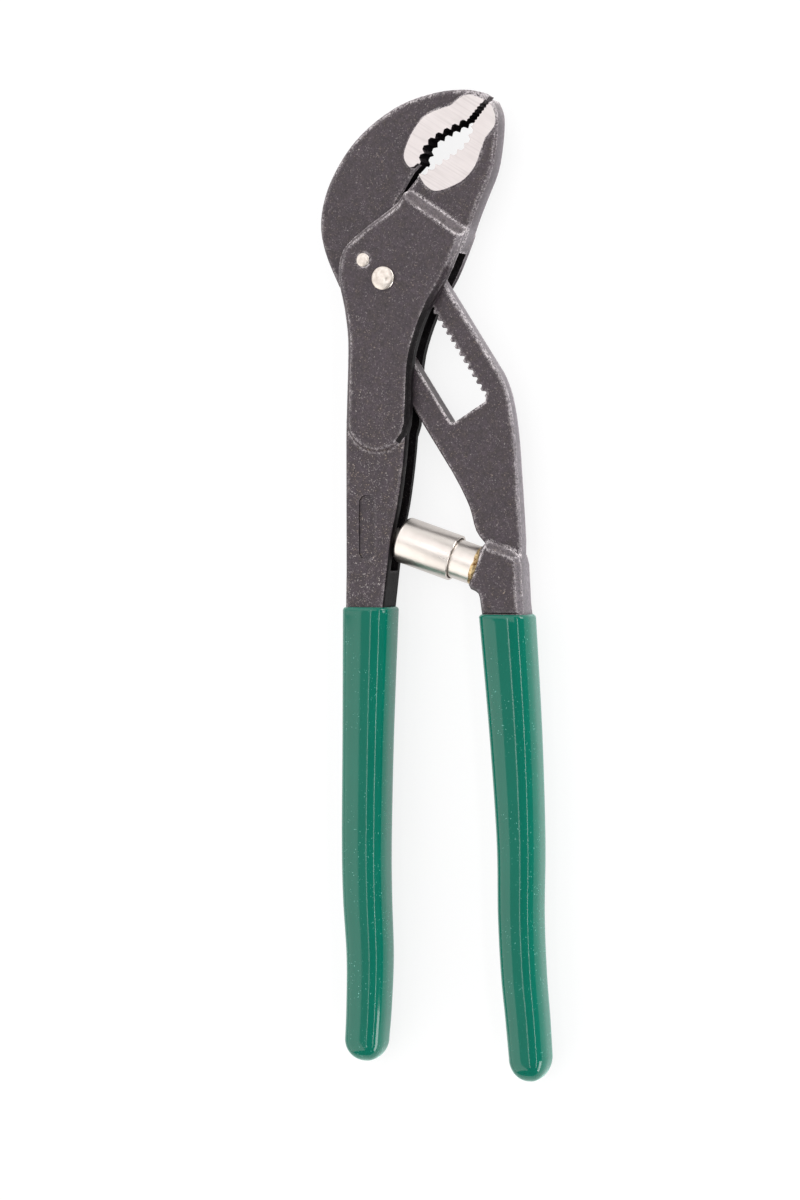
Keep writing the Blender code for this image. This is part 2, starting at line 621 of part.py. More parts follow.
def strut_plunger():
    """Inner tube, open to the spring, with a tenon brazed into the right handle."""
    r, bore = PLUNGER_D / 2, PLUNGER_D / 2 - PLUNGER_WALL
    start = SLEEVE_L - PLUNGER_IN
    tenon = TENON_D / 2
    profile = [(STRUT_SEAT - PLUNGER_END, bore), (start, bore)]
    profile += [(start, r - BREAK_EDGE), (start + BREAK_EDGE, r)]
    profile += [(STRUT_SEAT, r), (STRUT_SEAT, tenon), (STRUT_SEAT + TENON_L, tenon)]
    return on_strut_axis(turned("strut_plunger", profile, "X", 48))


def strut_spring():
    """Compression spring inside the strut, as one tube, with its least gap to itself measured."""
    first = SLEEVE_END + SEAT_GAP + SPRING_WIRE / 2
    last = STRUT_SEAT - PLUNGER_END - SEAT_GAP - SPRING_WIRE / 2
    radius = PLUNGER_D / 2 - PLUNGER_WALL - SEAT_GAP - SPRING_WIRE / 2
    per_turn = 12
    count = SPRING_TURNS * per_turn
    points = []
    for step in range(count + 1):
        angle = 2 * math.pi * step / per_turn
        along = first + (last - first) * step / count
        points.append(Vector((along, radius * math.cos(angle), radius * math.sin(angle))))
    apart = per_turn // 2
    gaps = [(a - b).length for i, a in enumerate(points) for b in points[i + apart:]]
    print(f"strut_spring: least gap between turns {min(gaps) - SPRING_WIRE:.2f} mm")
    wire = bpy.data.curves.new("strut_spring", "CURVE")
    wire.dimensions = "3D"
    wire.bevel_depth = SPRING_WIRE / 2 * MM
    wire.bevel_resolution = 1
    wire.use_fill_caps = True
    spline = wire.splines.new("POLY")
    spline.points.add(len(points) - 1)
    for spot, point in zip(spline.points, points):
        spot.co = (*(point * MM), 1)
    made = bpy.data.objects.new("strut_spring", wire)
    bpy.context.scene.collection.objects.link(made)
    return on_strut_axis(made)


def tidy(piece):
    """Drops the specks that a Boolean can leave."""
    if piece.type != "MESH":
        return
    rough = bmesh.new()
    rough.from_mesh(piece.data)
    bmesh.ops.remove_doubles(rough, verts=rough.verts, dist=2e-6)
    bmesh.ops.dissolve_degenerate(rough, edges=rough.edges, dist=2e-6)
    rough.to_mesh(piece.data)
    rough.free()


def paint(piece, colour, roughness, metallic):
    finish_of = bpy.data.materials.new(piece.name + "_finish")
    finish_of.use_nodes = True
    shader = finish_of.node_tree.nodes["Principled BSDF"]
    shader.inputs["Base Color"].default_value = (*colour, 1)
    shader.inputs["Roughness"].default_value = roughness
    shader.inputs["Metallic"].default_value = metallic
    piece.data.materials.clear()
    piece.data.materials.append(finish_of)


BLACK_OXIDE = ((0.035, 0.033, 0.035), 0.5, 0.8)
NICKEL = ((0.75, 0.70, 0.64), 0.2, 1.0)
BRIGHT_STEEL = ((0.72, 0.70, 0.68), 0.3, 1.0)
PLAIN_STEEL = ((0.30, 0.30, 0.31), 0.4, 1.0)
GREEN_VINYL = ((0.006, 0.150, 0.095), 0.25, 0.0)


def main():
    for old in list(bpy.data.objects):
        bpy.data.objects.remove(old)
    root = bpy.data.objects.new("pliers", None)
    bpy.context.scene.collection.objects.link(root)
    root.location.z = MID_Z * MM
    pieces = [
        (body_lever(), BLACK_OXIDE),
        (jaw_lever(), BLACK_OXIDE),
        (rack_pawl(), PLAIN_STEEL),
        (pivot_bush(), PLAIN_STEEL),
        (pivot_rivet(), BRIGHT_STEEL),
        (stop_pin(), BRIGHT_STEEL),
        (strut_sleeve(), NICKEL),
        (strut_plunger(), NICKEL),
        (strut_spring(), PLAIN_STEEL),
        (grip("left_grip", LEFT_GRIP, LEFT_GRIP_END_Y), GREEN_VINYL),
        (grip("right_grip", RIGHT_GRIP, RIGHT_GRIP_END_Y), GREEN_VINYL),
    ]
    for piece, look in pieces:
        tidy(piece)
        paint(piece, *look)
        piece.parent = root


main()
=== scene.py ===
"""Looks for the self-adjusting water pump pliers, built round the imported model."""

import json
import math

import bmesh
import bpy
from mathutils import Matrix, Vector

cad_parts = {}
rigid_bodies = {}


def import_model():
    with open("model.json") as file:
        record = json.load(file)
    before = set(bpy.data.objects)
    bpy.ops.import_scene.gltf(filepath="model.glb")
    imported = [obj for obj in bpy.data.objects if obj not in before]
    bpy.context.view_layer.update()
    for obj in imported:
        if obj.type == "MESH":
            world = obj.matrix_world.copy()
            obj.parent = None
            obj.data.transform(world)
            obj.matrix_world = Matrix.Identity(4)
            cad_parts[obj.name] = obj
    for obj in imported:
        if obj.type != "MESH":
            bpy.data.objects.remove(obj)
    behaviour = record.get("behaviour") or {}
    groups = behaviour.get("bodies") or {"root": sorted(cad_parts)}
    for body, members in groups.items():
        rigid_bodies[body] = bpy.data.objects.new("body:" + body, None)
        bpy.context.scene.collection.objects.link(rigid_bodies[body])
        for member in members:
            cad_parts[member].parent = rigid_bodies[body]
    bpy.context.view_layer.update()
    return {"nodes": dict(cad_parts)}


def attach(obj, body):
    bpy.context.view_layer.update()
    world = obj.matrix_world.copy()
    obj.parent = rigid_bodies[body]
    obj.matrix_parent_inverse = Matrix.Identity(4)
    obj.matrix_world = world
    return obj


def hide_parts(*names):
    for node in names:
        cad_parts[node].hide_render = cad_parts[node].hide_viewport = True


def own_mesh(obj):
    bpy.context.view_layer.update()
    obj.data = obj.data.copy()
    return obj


# Sizes are in millimetres. MID_Z is the middle of the thickness, and the half heights are from it
MM = 0.001
MID_Z = 6.8
BOSS_HALF = 6.0
PAD_HALF = 3.75

for old in list(bpy.data.objects):
    bpy.data.objects.remove(old)
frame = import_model()
nodes = frame["nodes"]

# Samples of a rounded normal
BEVEL_SAMPLES = 6


class Shader:
    """A Principled material with short calls for the nodes that drive it."""

    def __init__(self, name):
        self.material = bpy.data.materials.new(name)
        self.material.use_nodes = True
        self.tree = self.material.node_tree
        self.main = self.tree.nodes["Principled BSDF"]
        self.place = self.tree.nodes.new("ShaderNodeTexCoord").outputs["Object"]

    def node(self, kind, **settings):
        made = self.tree.nodes.new(kind)
        for key, value in settings.items():
            setattr(made, key, value)
        return made

    def feed(self, socket, value):
        if isinstance(value, bpy.types.NodeSocket):
            self.tree.links.new(value, socket)
        else:
            socket.default_value = value

    def axis(self, kind, letter):
        """One axis of the object's own coordinates or of its normal."""
        parts = self.node("ShaderNodeSeparateXYZ")
        self.feed(parts.inputs[0], self.node("ShaderNodeTexCoord").outputs[kind])
        return parts.outputs[letter]

    def along(self, letter, low, high, to_low=0.0, to_high=1.0):
        """A ramp between two places on one of the object's own axes."""
        return self.ramp(self.axis("Object", letter), low * MM, high * MM, to_low, to_high)

    def near(self, at, inner, outer):
        """1 within the inner distance of a point, seen along Z, and 0 past the outer one."""
        away_x = self.math("SUBTRACT", self.axis("Object", "X"), at[0] * MM)
        away_y = self.math("SUBTRACT", self.axis("Object", "Y"), at[1] * MM)
        squares = [self.math("MULTIPLY", away, away) for away in (away_x, away_y)]
        distance = self.math("SQRT", self.math("ADD", *squares))
        return self.ramp(distance, inner * MM, outer * MM, 1.0, 0.0)

    def scaled(self, x, y, z, turn=0.0):
        """Object coordinates, scaled on each axis after a turn about Z in degrees."""
        turned = self.node("ShaderNodeMapping")
        turned.inputs["Rotation"].default_value = (0, 0, math.radians(turn))
        self.feed(turned.inputs["Vector"], self.place)
        stretched = self.node("ShaderNodeMapping")
        stretched.inputs["Scale"].default_value = (x, y, z)
        self.feed(stretched.inputs["Vector"], turned.outputs["Vector"])
        return stretched.outputs["Vector"]

    def noise(self, size_mm, detail=3.0, rough=0.55, at=None, offset=0.0):
        """Noise whose features are about this size."""
        made = self.node("ShaderNodeTexNoise", noise_dimensions="4D")
        self.feed(made.inputs["Vector"], at or self.place)
        made.inputs["W"].default_value = offset
        made.inputs["Scale"].default_value = 1 / (size_mm * MM)
        made.inputs["Detail"].default_value = detail
        made.inputs["Roughness"].default_value = rough
        return made.outputs["Fac"]

    def dots(self, spacing_mm, radius_mm, share):
        """Small round dots, in a share of the cells of an uneven grid."""
        cells = self.node("ShaderNodeTexVoronoi", voronoi_dimensions="4D")
        self.feed(cells.inputs["Vector"], self.place)
        cells.inputs["Scale"].default_value = 1 / (spacing_mm * MM)
        size = radius_mm / spacing_mm
        dot = self.ramp(cells.outputs["Distance"], 0.6 * size, size, 1.0, 0.0)
        parts = self.node("ShaderNodeSeparateColor")
        self.feed(parts.inputs[0], cells.outputs["Color"])
        return self.math("MULTIPLY", dot, self.math("LESS_THAN", parts.outputs[0], share))

    def ramp(self, value, low, high, to_low=0.0, to_high=1.0):
        """The value between low and high, taken to a new range and held at its ends."""
        made = self.node("ShaderNodeMapRange", clamp=True)
        self.feed(made.inputs["Value"], value)
        made.inputs["From Min"].default_value = low
        made.inputs["From Max"].default_value = high
        made.inputs["To Min"].default_value = to_low
        made.inputs["To Max"].default_value = to_high
        return made.outputs["Result"]

    def math(self, operation, a, b=0.0):
        made = self.node("ShaderNodeMath", operation=operation)
        self.feed(made.inputs[0], a)
        self.feed(made.inputs[1], b)
        return made.outputs["Value"]

    def product(self, first, *others):
        """All the values multiplied."""
        for other in others:
            first = self.math("MULTIPLY", first, other)
        return first

    def mix(self, share, first, second):
        """First colour to second colour by a share."""
        made = self.node("ShaderNodeMix", data_type="RGBA")
        self.feed(made.inputs["Factor"], share)
        colours = [socket for socket in made.inputs if socket.type == "RGBA"]
        for socket, colour in zip(colours, (first, second)):
            self.feed(socket, (*colour, 1) if isinstance(colour, tuple) else colour)
        return [socket for socket in made.outputs if socket.type == "RGBA"][0]

    def shade(self, colour, factor):
        """The colour made lighter or darker by a factor."""
        made = self.node("ShaderNodeVectorMath", operation="SCALE")
        self.feed(made.inputs[0], colour)
        self.feed(made.inputs["Scale"], factor)
        return made.outputs["Vector"]

    def rounded(self, radius_mm):
        """The normal, with the edges rounded over a radius."""
        made = self.node("ShaderNodeBevel", samples=BEVEL_SAMPLES)
        made.inputs["Radius"].default_value = radius_mm * MM
        return made.outputs["Normal"]

    def edges(self, rounded):
        """0 on a face and up to 1 on an edge, from how far the rounded normal turns away."""
        dot = self.node("ShaderNodeVectorMath", operation="DOT_PRODUCT")
        self.feed(dot.inputs[0], rounded)
        self.feed(dot.inputs[1], self.node("ShaderNodeNewGeometry").outputs["Normal"])
        return self.math("SUBTRACT", 1.0, dot.outputs["Value"])

    def towards_jaws(self, rounded):
        """How far the rounded normal looks along Y, in the object's own frame."""
        own = self.node("ShaderNodeVectorTransform", vector_type="NORMAL",
                        convert_from="WORLD", convert_to="OBJECT")
        self.feed(own.inputs[0], rounded)
        parts = self.node("ShaderNodeSeparateXYZ")
        self.feed(parts.inputs[0], own.outputs[0])
        return parts.outputs["Y"]

    def bump(self, height, depth_mm, below=None):
        made = self.node("ShaderNodeBump")
        made.inputs["Strength"].default_value = 1.0
        made.inputs["Distance"].default_value = depth_mm * MM
        self.feed(made.inputs["Height"], height)
        if below is not None:
            self.feed(made.inputs["Normal"], below)
        return made.outputs["Normal"]

    def set(self, **values):
        """The material, with these inputs of its shader set or fed."""
        for key, value in values.items():
            self.feed(self.main.inputs[key.replace("_", " ").title()], value)
        return self.material


# Wear, specks, painted light and painted shade of the black steel: colours, then the inner and
# outer distances and levels where they fade
BARE_AND_LIT = (0.30, 0.27, 0.275)
SPECK = (0.42, 0.385, 0.375)
RUST = (0.34, 0.26, 0.21)
WORN_AND_LIT = (0.80, 0.74, 0.755)
OLIVE_SHARES = (1.04, 1.08, 0.88)
NOSE_AT = (28.0, 45.0)
NOSE_REACH = (2.0, 7.5)
RECESS_AT = (-4.8, -62.4)
RECESS_REACH = (9.0, 10.5)
HANDLE_BELOW = (-45.0, -20.0)
HANDLE_WITHIN = (8.0, 12.0)
GRIP_TOP = -84.2
GRIP_CLEAR = 1.5
WORN_AND_LIT_RADIUS = 1.3
# Darkest level of the painted shadow
DARKEST = 0.10
# Rubbing and painted light from the right on a side: two heights from the middle, and its share at
# each. The jaw's foot gets them at all heights
JAW_RUB_AND_LIGHT = (-2.5, 3.0, 0.75, 0.03)
JAW_FOOT = (11.0, 14.0)
LEVER_RUB_AND_LIGHT = (-2.0, 5.5, 1.1, 0.35)


def side_rub_and_light(s, cloud, fade):
    """Share of the lighter colour on faces that look right, rubbing and painted light from the
    right, of the jaw with a fade or the lever.
    """
    low, high, most, least = JAW_RUB_AND_LIGHT if fade else LEVER_RUB_AND_LIGHT
    rub_and_light = s.along("Z", MID_Z + low, MID_Z + high, most, least)
    # Painted light from the right: more of the lighter colour as the normal turns to the right
    facing_right = s.ramp(s.axis("Normal", "X"), 0.2, 0.75)
    if fade:
        rub_and_light = s.math("MAXIMUM", rub_and_light, s.along("Y", *JAW_FOOT, 1.0, 0.0))
        facing_right = s.product(facing_right, s.along("Y", *fade))
    return s.product(facing_right, s.ramp(cloud, 0.25, 0.6, 0.75, 1.0), rub_and_light)


def bright_specks(s, dust):
    """Share of fine and coarse specks, in patches, with more on the left handle."""
    patches = s.ramp(s.noise(5.0, 3.0, 0.6, offset=21.0), 0.34, 0.58, 0.45, 1.0)
    fine = s.ramp(s.noise(0.34, 2.0, 0.6, offset=2.0), 0.58, 0.72, 0.0, 0.6)
    coarse = s.ramp(s.noise(0.6, 2.0, 0.6, offset=7.0), 0.68, 0.73, 0.0, 0.9)
    low_part = s.along("Y", *HANDLE_BELOW, 1.0, 0.0)
    handle = s.product(low_part, s.along("X", *HANDLE_WITHIN, 1.0, 0.0))
    dusty = s.product(s.math("ADD", handle, 1.0), dust)
    return s.product(s.math("MAXIMUM", fine, coarse), patches, dusty)


def worn_and_lit_edges(s, edge_wear_and_light):
    """Share of the worn colour with painted highlights on stretches of the edges, most on those
    turned to the jaws and faint in the recess.
    """
    rounded = s.rounded(WORN_AND_LIT_RADIUS)
    reach = s.ramp(s.noise(4.5, 3.0, 0.6, offset=31.0), 0.38, 0.60, 0.2, 1.0)
    crumbs = s.ramp(s.noise(0.5, 3.0, 0.7, offset=37.0), 0.44, 0.56)
    off_recess = s.math("SUBTRACT", 1.0, s.near(RECESS_AT, *RECESS_REACH))
    return s.product(s.ramp(s.edges(rounded), 0.003, 0.05), crumbs, reach,
                     s.ramp(off_recess, 0.0, 1.0, 0.15, edge_wear_and_light),
                     # Painted highlight: edges turned towards the jaws, along +Y, get more of the
                     # lit colour
                     s.ramp(s.towards_jaws(rounded), 0.05, 0.25, 0.75, 2.0),
                     s.along("Y", GRIP_TOP, GRIP_TOP + GRIP_CLEAR))


def oxide(name, dark, light, edge_wear_and_light, rubbed_and_lit=None, fade=None, shadow=None, shine=0.5, dust=1.0):
    """Blackened steel with grain, specks, worn edges with painted highlights, and painted light and
    shade.

    The lighter colour of rubbing and painted light shows on faces that look right, from the first
    level of fade to the second.
    The painted shadow darkens the colour from its first level down to its second.
    """
    s = Shader(name)
    cloud = s.noise(6.0, 4.0, 0.6)
    tint = s.noise(1.7, 3.0, 0.6, offset=15.0)
    grain = s.noise(0.55, 4.0, 0.78, offset=3.0)
    mottle = s.ramp(s.noise(0.8, 4.0, 0.75, offset=11.0), 0.34, 0.58)
    base = s.mix(s.ramp(cloud, 0.3, 0.7), dark, light)
    olive = tuple(channel * share for channel, share in zip(dark, OLIVE_SHARES))
    base = s.mix(s.ramp(tint, 0.42, 0.66, 0.0, 0.8), base, olive)
    if rubbed_and_lit:
        base = s.mix(side_rub_and_light(s, cloud, fade), base, rubbed_and_lit)
    # Painted light: faces turned towards +Y get a lighter mottled colour; near the nose the same
    # colour is worn steel
    roof_light = s.product(s.ramp(s.axis("Normal", "Y"), 0.25, 0.6), s.ramp(mottle, 0.0, 1.0, 0.05, 0.32))
    nose = s.product(s.near(NOSE_AT, *NOSE_REACH), s.ramp(mottle, 0.0, 1.0, 0.15, 0.75))
    base = s.mix(s.math("MAXIMUM", roof_light, nose), base, BARE_AND_LIT)
    base = s.shade(base, s.ramp(grain, 0.30, 0.70, 0.35, 1.75))
    base = s.mix(bright_specks(s, dust), base, s.mix(s.ramp(tint, 0.45, 0.6), SPECK, RUST))
    base = s.mix(worn_and_lit_edges(s, edge_wear_and_light), base, WORN_AND_LIT)
    # Painted shade, darker down the handle
    if shadow:
        base = s.shade(base, s.along("Y", shadow[1], shadow[0], DARKEST, 1.0))
    low = s.bump(s.noise(3.5, 2.0, 0.5, offset=5.0), 0.06)
    s.feed(s.main.inputs["Normal"], s.bump(grain, 0.05, low))
    s.main.inputs["Specular IOR Level"].default_value = shine
    return s.set(base_color=base, roughness=s.ramp(grain, 0.3, 0.7, 0.42, 0.58))


def ground_steel():
    """The bright ground pads of the jaws, with the lines of the wheel."""
    s = Shader("ground_steel")
    lines = s.noise(0.5, 2.0, 0.6, at=s.scaled(0.03, 1.0, 1.0, turn=32.0))
    cloud = s.noise(4.0, 3.0, 0.5, offset=2.0)
    base = s.mix(s.ramp(cloud, 0.3, 0.7), (0.675, 0.627, 0.618), (0.72, 0.672, 0.663))
    base = s.mix(s.product(s.ramp(lines, 0.48, 0.66), 0.5), base, (0.58, 0.535, 0.53))
    base = s.mix(s.product(s.dots(3.0, 0.14, 0.2), 0.6), base, (0.40, 0.36, 0.35))
    s.feed(s.main.inputs["Normal"], s.bump(lines, 0.012))
    return s.set(base_color=base, roughness=s.ramp(lines, 0.3, 0.7, 0.40, 0.52), metallic=1.0)


def plain_steel(name, light, dark):
    """Bare steel, with faint stains and turning lines."""
    s = Shader(name)
    cloud = s.noise(0.9, 4.0, 0.6)
    lines = s.noise(0.3, 3.0, 0.6, at=s.scaled(1.0, 1.0, 0.08))
    base = s.mix(s.ramp(cloud, 0.3, 0.7), dark, light)
    s.feed(s.main.inputs["Normal"], s.bump(lines, 0.01))
    return s.set(base_color=base, roughness=s.ramp(lines, 0.3, 0.7, 0.30, 0.44), metallic=1.0)


STRUT_SLOPE = 18.7
STAIN_RADIUS = 0.35


def nickel():
    """Plated tube, with drawing marks along the strut and stains at its edges."""
    s = Shader("nickel_plate")
    cloud = s.noise(3.0, 3.0, 0.55)
    marks = s.noise(0.22, 2.0, 0.6, at=s.scaled(0.04, 1.0, 1.0, turn=STRUT_SLOPE))
    base = s.mix(s.ramp(cloud, 0.35, 0.65), (0.74, 0.685, 0.64), (0.79, 0.735, 0.69))
    base = s.mix(s.product(s.ramp(marks, 0.58, 0.72), 0.2), base, (0.70, 0.64, 0.57))
    stain = s.product(s.ramp(s.edges(s.rounded(STAIN_RADIUS)), 0.02, 0.20), 0.45)
    base = s.mix(stain, base, (0.30, 0.18, 0.12))
    return s.set(base_color=base, roughness=s.ramp(marks, 0.3, 0.7, 0.27, 0.35), metallic=1.0)


def green_vinyl():
    """Glossy dipped vinyl with a little dust."""
    s = Shader("green_vinyl")
    cloud = s.noise(14.0, 3.0, 0.5)
    dust = s.ramp(s.noise(0.38, 1.0, 0.5, offset=4.0), 0.70, 0.72)
    dust = s.product(dust, s.ramp(s.noise(12.0, 2.0, 0.5, offset=9.0), 0.4, 0.6))
    base = s.mix(s.ramp(cloud, 0.3, 0.7), (0.0010, 0.144, 0.096), (0.0016, 0.158, 0.106))
    base = s.mix(s.product(dust, 0.7), base, (0.26, 0.72, 0.62))
    wave = s.bump(s.noise(9.0, 2.0, 0.5, offset=8.0), 0.008)
    s.feed(s.main.inputs["Normal"], s.bump(s.noise(0.9, 3.0, 0.6, offset=6.0), 0.0006, wave))
    s.main.inputs["Sheen Weight"].default_value = 1.0
    s.main.inputs["Sheen Roughness"].default_value = 0.25
    s.main.inputs["Sheen Tint"].default_value = (0.45, 1.0, 0.85, 1.0)
    return s.set(base_color=base, roughness=s.ramp(dust, 0.0, 1.0, 0.07, 0.40))


def braze():
    """Brass-coloured filler with dark scale."""
    s = Shader("braze_metal")
    cloud = s.noise(0.8, 4.0, 0.65)
    base = s.mix(s.ramp(cloud, 0.38, 0.60), (0.16, 0.08, 0.03), (0.86, 0.66, 0.36))
    s.feed(s.main.inputs["Normal"], s.bump(cloud, 0.06))
    return s.set(base_color=base, roughness=s.ramp(cloud, 0.3, 0.7, 0.28, 0.45), metallic=1.0)


def piece(name, mesh, body, slot, replaced, *materials):
    """A new piece that rides a body and takes the place of CAD nodes."""
    made = bpy.data.objects.new(name, mesh)
    bpy.context.scene.collection.objects.link(made)
    for material in materials:
        made.data.materials.append(material)
    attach(made, body)
    if replaced:
        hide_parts(*replaced)
    return made


# Where the finishes, painted shade and painted light of the forgings lie: places, and how far a
# normal looks a given way
SLOT_ACROSS = Vector((0.8415, 0.5402))
BAR_SIDE = 11.0
BAR_FROM = -30.0
LEVER_SIDE_X = 24.0
JAW_SIDE = (17.0, 2.0)
PADS_FROM = 20.0
BOX_HALF = 2.75
SHADE_FROM = 9.0
MOUTH_FROM = 17.0
NOSE_FROM = 22.0
MOUTH = Vector((0.62, -0.78))
MOUTH_TURN = -0.35
FACE_ON = 0.9
UPRIGHT = 0.3
ROOF_TURN = 0.2
RIGHTWARD = 0.1
FULLY_RIGHT = 0.55
PAD_SLACK = 0.06
BOX_SLACK = 0.03
# Clean-up and rounding of the forgings
WELD = 0.003
FLAT_ANGLE = 0.4
EDGE_ROUND = 0.16
EDGE_ANGLE = 24.0
# Order of the finishes on a forging, with rubbing and painted light, near-black painted shade, and
# painted shade among them
PLAIN, PAD, RUB_AND_LIGHT, DEEP_SHADE, SHADED = range(5)


def outer_side(node, at):
    """Whether a face that looks to the right is on a side worn by hands and work, which also gets
    painted light from the right.
    """
    if node == "jaw_lever":
        on_bar = at.xy.dot(SLOT_ACROSS) > BAR_SIDE and at.y > BAR_FROM
        return on_bar or at.x > LEVER_SIDE_X and at.y < 0
    return at.x > JAW_SIDE[0] and at.y > JAW_SIDE[1]


def finish_of(node, face):
    """The finish of a face, painted shade and light among them, from where it is and how it looks.
    """
    normal = face.normal
    middle = face.calc_center_median() / MM
    lift = abs(middle.z - MID_Z)
    on_level = abs(lift - PAD_HALF) < PAD_SLACK
    if middle.y > PADS_FROM and abs(normal.z) > FACE_ON and on_level:
        return PAD
    reach = max(abs(vert.co.z / MM - MID_Z) for vert in face.verts)
    # Near-black painted shade inside the box joint
    if node == "body_lever" and reach < BOX_HALF + BOX_SLACK:
        return DEEP_SHADE
    # Near-black painted shade on the walls of the jaws' mouth
    to_mouth = abs(normal.z) < UPRIGHT and normal.xy.dot(MOUTH) > MOUTH_TURN
    off_roof = normal.y < ROOF_TURN or middle.x < NOSE_FROM
    if node == "jaw_lever" and middle.y > MOUTH_FROM and to_mouth and off_roof:
        return DEEP_SHADE
    # Rubbing and painted light from the right on the sides that look right
    if normal.x > RIGHTWARD and outer_side(node, middle):
        return RUB_AND_LIGHT
    # Painted shade on the body's other faces that look right, below the jaw
    if node == "body_lever" and normal.x > FULLY_RIGHT and middle.y < SHADE_FROM:
        return SHADED
    return PLAIN


def forging(name, node, body, *materials):
    """The forging with its edges rounded, and its finishes, painted shade and painted light in the
    order above.
    """
    rough = bmesh.new()
    rough.from_mesh(nodes[node].data)
    bmesh.ops.remove_doubles(rough, verts=rough.verts, dist=WELD * MM)
    bmesh.ops.dissolve_limit(rough, angle_limit=math.radians(FLAT_ANGLE), verts=rough.verts,
                             edges=rough.edges, use_dissolve_boundaries=False)
    for face in rough.faces:
        face.smooth = True
        face.material_index = finish_of(node, face)
    mesh = bpy.data.meshes.new(name)
    rough.to_mesh(mesh)
    rough.free()
    made = piece(name, mesh, body, "black_oxide_steel", (node,), *materials)
    bevel = made.modifiers.new("round_edges", "BEVEL")
    bevel.width = EDGE_ROUND * MM
    bevel.segments = 2
    bevel.limit_method = "ANGLE"
    bevel.angle_limit = math.radians(EDGE_ANGLE)
    bevel.use_clamp_overlap = True
    made.modifiers.new("even_faces", "WEIGHTED_NORMAL")


# Edges of a loft that turn more than this stay sharp
CREASE = 38.0


def loft(name, rings, loop=False):
    """A smooth mesh through rings of points, closed at its ends or back on itself."""
    rough = bmesh.new()
    rows = [[rough.verts.new(Vector(point) * MM) for point in ring] for ring in rings]
    pairs = list(zip(rows, rows[1:]))
    if loop:
        pairs.append((rows[-1], rows[0]))
    for low, high in pairs:
        for i in range(len(low)):
            j = (i + 1) % len(low)
            rough.faces.new((low[i], low[j], high[j], high[i]))
    if not loop:
        rough.faces.new(rows[0])
        rough.faces.new(rows[-1])
    bmesh.ops.recalc_face_normals(rough, faces=rough.faces)
    for face in rough.faces:
        face.smooth = len(face.verts) == 4
    for edge in rough.edges:
        if len(edge.link_faces) == 2 and edge.calc_face_angle() > math.radians(CREASE):
            edge.smooth = False
    mesh = bpy.data.meshes.new(name)
    rough.to_mesh(mesh)
    rough.free()
    return mesh


def bend(points, steps):
    """A curve through points of any number of values each."""
    ends = [points[0]] + list(points) + [points[-1]]
    curve = []
    for before, start, stop, after in zip(ends, ends[1:], ends[2:], ends[3:]):
        for step in range(steps):
            t = step / steps
            point = []
            for a, b, c, d in zip(before, start, stop, after):
                curl = (2 * a - 5 * b + 4 * c - d) * t ** 2 + (3 * b - a - 3 * c + d) * t ** 3
                point.append(b + 0.5 * ((c - a) * t + curl))
            curve.append(tuple(point))
    return curve + [tuple(points[-1])]


# Grips: y, middle, width and thickness at each station, and where each one ends
LEFT_GRIP = [(-82.5, -5.5, 13.2, 13.2), (-114.2, -6.2, 12.1, 12.7), (-141.2, -6.6, 11.7, 12.4),
             (-156.2, -6.4, 11.5, 12.2), (-171.3, -5.7, 11.0, 12.0), (-184.3, -6.0, 10.6, 11.7),
             (-192.3, -6.5, 10.3, 11.4)]
RIGHT_GRIP = [(-84.0, 30.75, 13.4, 13.2), (-113.7, 33.0, 12.4, 12.7), (-140.4, 34.4, 11.3, 12.4),
              (-159.2, 34.5, 10.8, 12.2), (-174.0, 35.2, 10.6, 12.0), (-184.8, 36.2, 10.4, 11.7),
              (-194.7, 37.0, 10.1, 11.4)]
LEFT_END = -198.0
RIGHT_END = -200.9
GRIP_POINTS = 96
GRIP_ROUND = 3.1
BORE_ROUND = 9.0
GRIP_WALL = 1.2
GRIP_END_WALL = 4.0
BORE_DROP = 0.3
LIP = 0.9
LIP_STEPS = 8
# Steps between the stations and round the end, for the bore and for the skin
BORE_STEPS = (3, 4)
SKIN_STEPS = (18, 14)
# The last ring of a round end stops short of the tip, so that it still has a width
END_TURN = 86.0
NEAR_TOP = 0.05


def oval(middle, y, width, thickness, power):
    """A ring across a grip, between an ellipse and a rectangle."""
    ring = []
    for step in range(GRIP_POINTS):
        angle = 2 * math.pi * (step + 0.5) / GRIP_POINTS
        c, s = math.cos(angle), math.sin(angle)
        x = width / 2 * math.copysign(abs(c) ** (2 / power), c)
        z = thickness / 2 * math.copysign(abs(s) ** (2 / power), s)
        ring.append((middle + x, y, MID_Z + z))
    return ring


def grip_rings(stations, end, less, power, first, steps, ends):
    """Rings from the first level down to the last station, and a round end."""
    curve = [station for station in bend(stations, steps) if station[0] <= first + 1e-6]
    if curve[0][0] < first - NEAR_TOP:
        curve.insert(0, (first, *stations[0][1:]))
    rings = [oval(m, y, w - 2 * less, t - 2 * less, power) for y, m, w, t in curve]
    y, m, w, t = curve[-1]
    for step in range(1, ends + 1):
        angle = math.radians(END_TURN * step / ends)
        share = math.cos(angle)
        drop = (y - end) * math.sin(angle)
        rings.append(oval(m, y - drop, (w - 2 * less) * share, (t - 2 * less) * share, power))
    return rings


def grip(name, node, body, stations, end, vinyl):
    """A dipped sleeve with a rolled lip, hollow over the handle."""
    top, m, w, t = stations[0]
    bore_end = end + GRIP_END_WALL
    bore = grip_rings(stations, bore_end, GRIP_WALL, BORE_ROUND, top - BORE_DROP, *BORE_STEPS)
    lip = []
    for step in range(LIP_STEPS):
        angle = math.radians(90 * step / LIP_STEPS)
        less = LIP * (1 - math.sin(angle))
        drop = LIP * (1 - math.cos(angle))
        lip.append(oval(m, top - drop, w - 2 * less, t - 2 * less, GRIP_ROUND))
    skin = grip_rings(stations, end, 0.0, GRIP_ROUND, top - LIP, *SKIN_STEPS)
    piece(name, loft(name, bore[::-1] + lip + skin), body, "green_vinyl", (node,), vinyl)


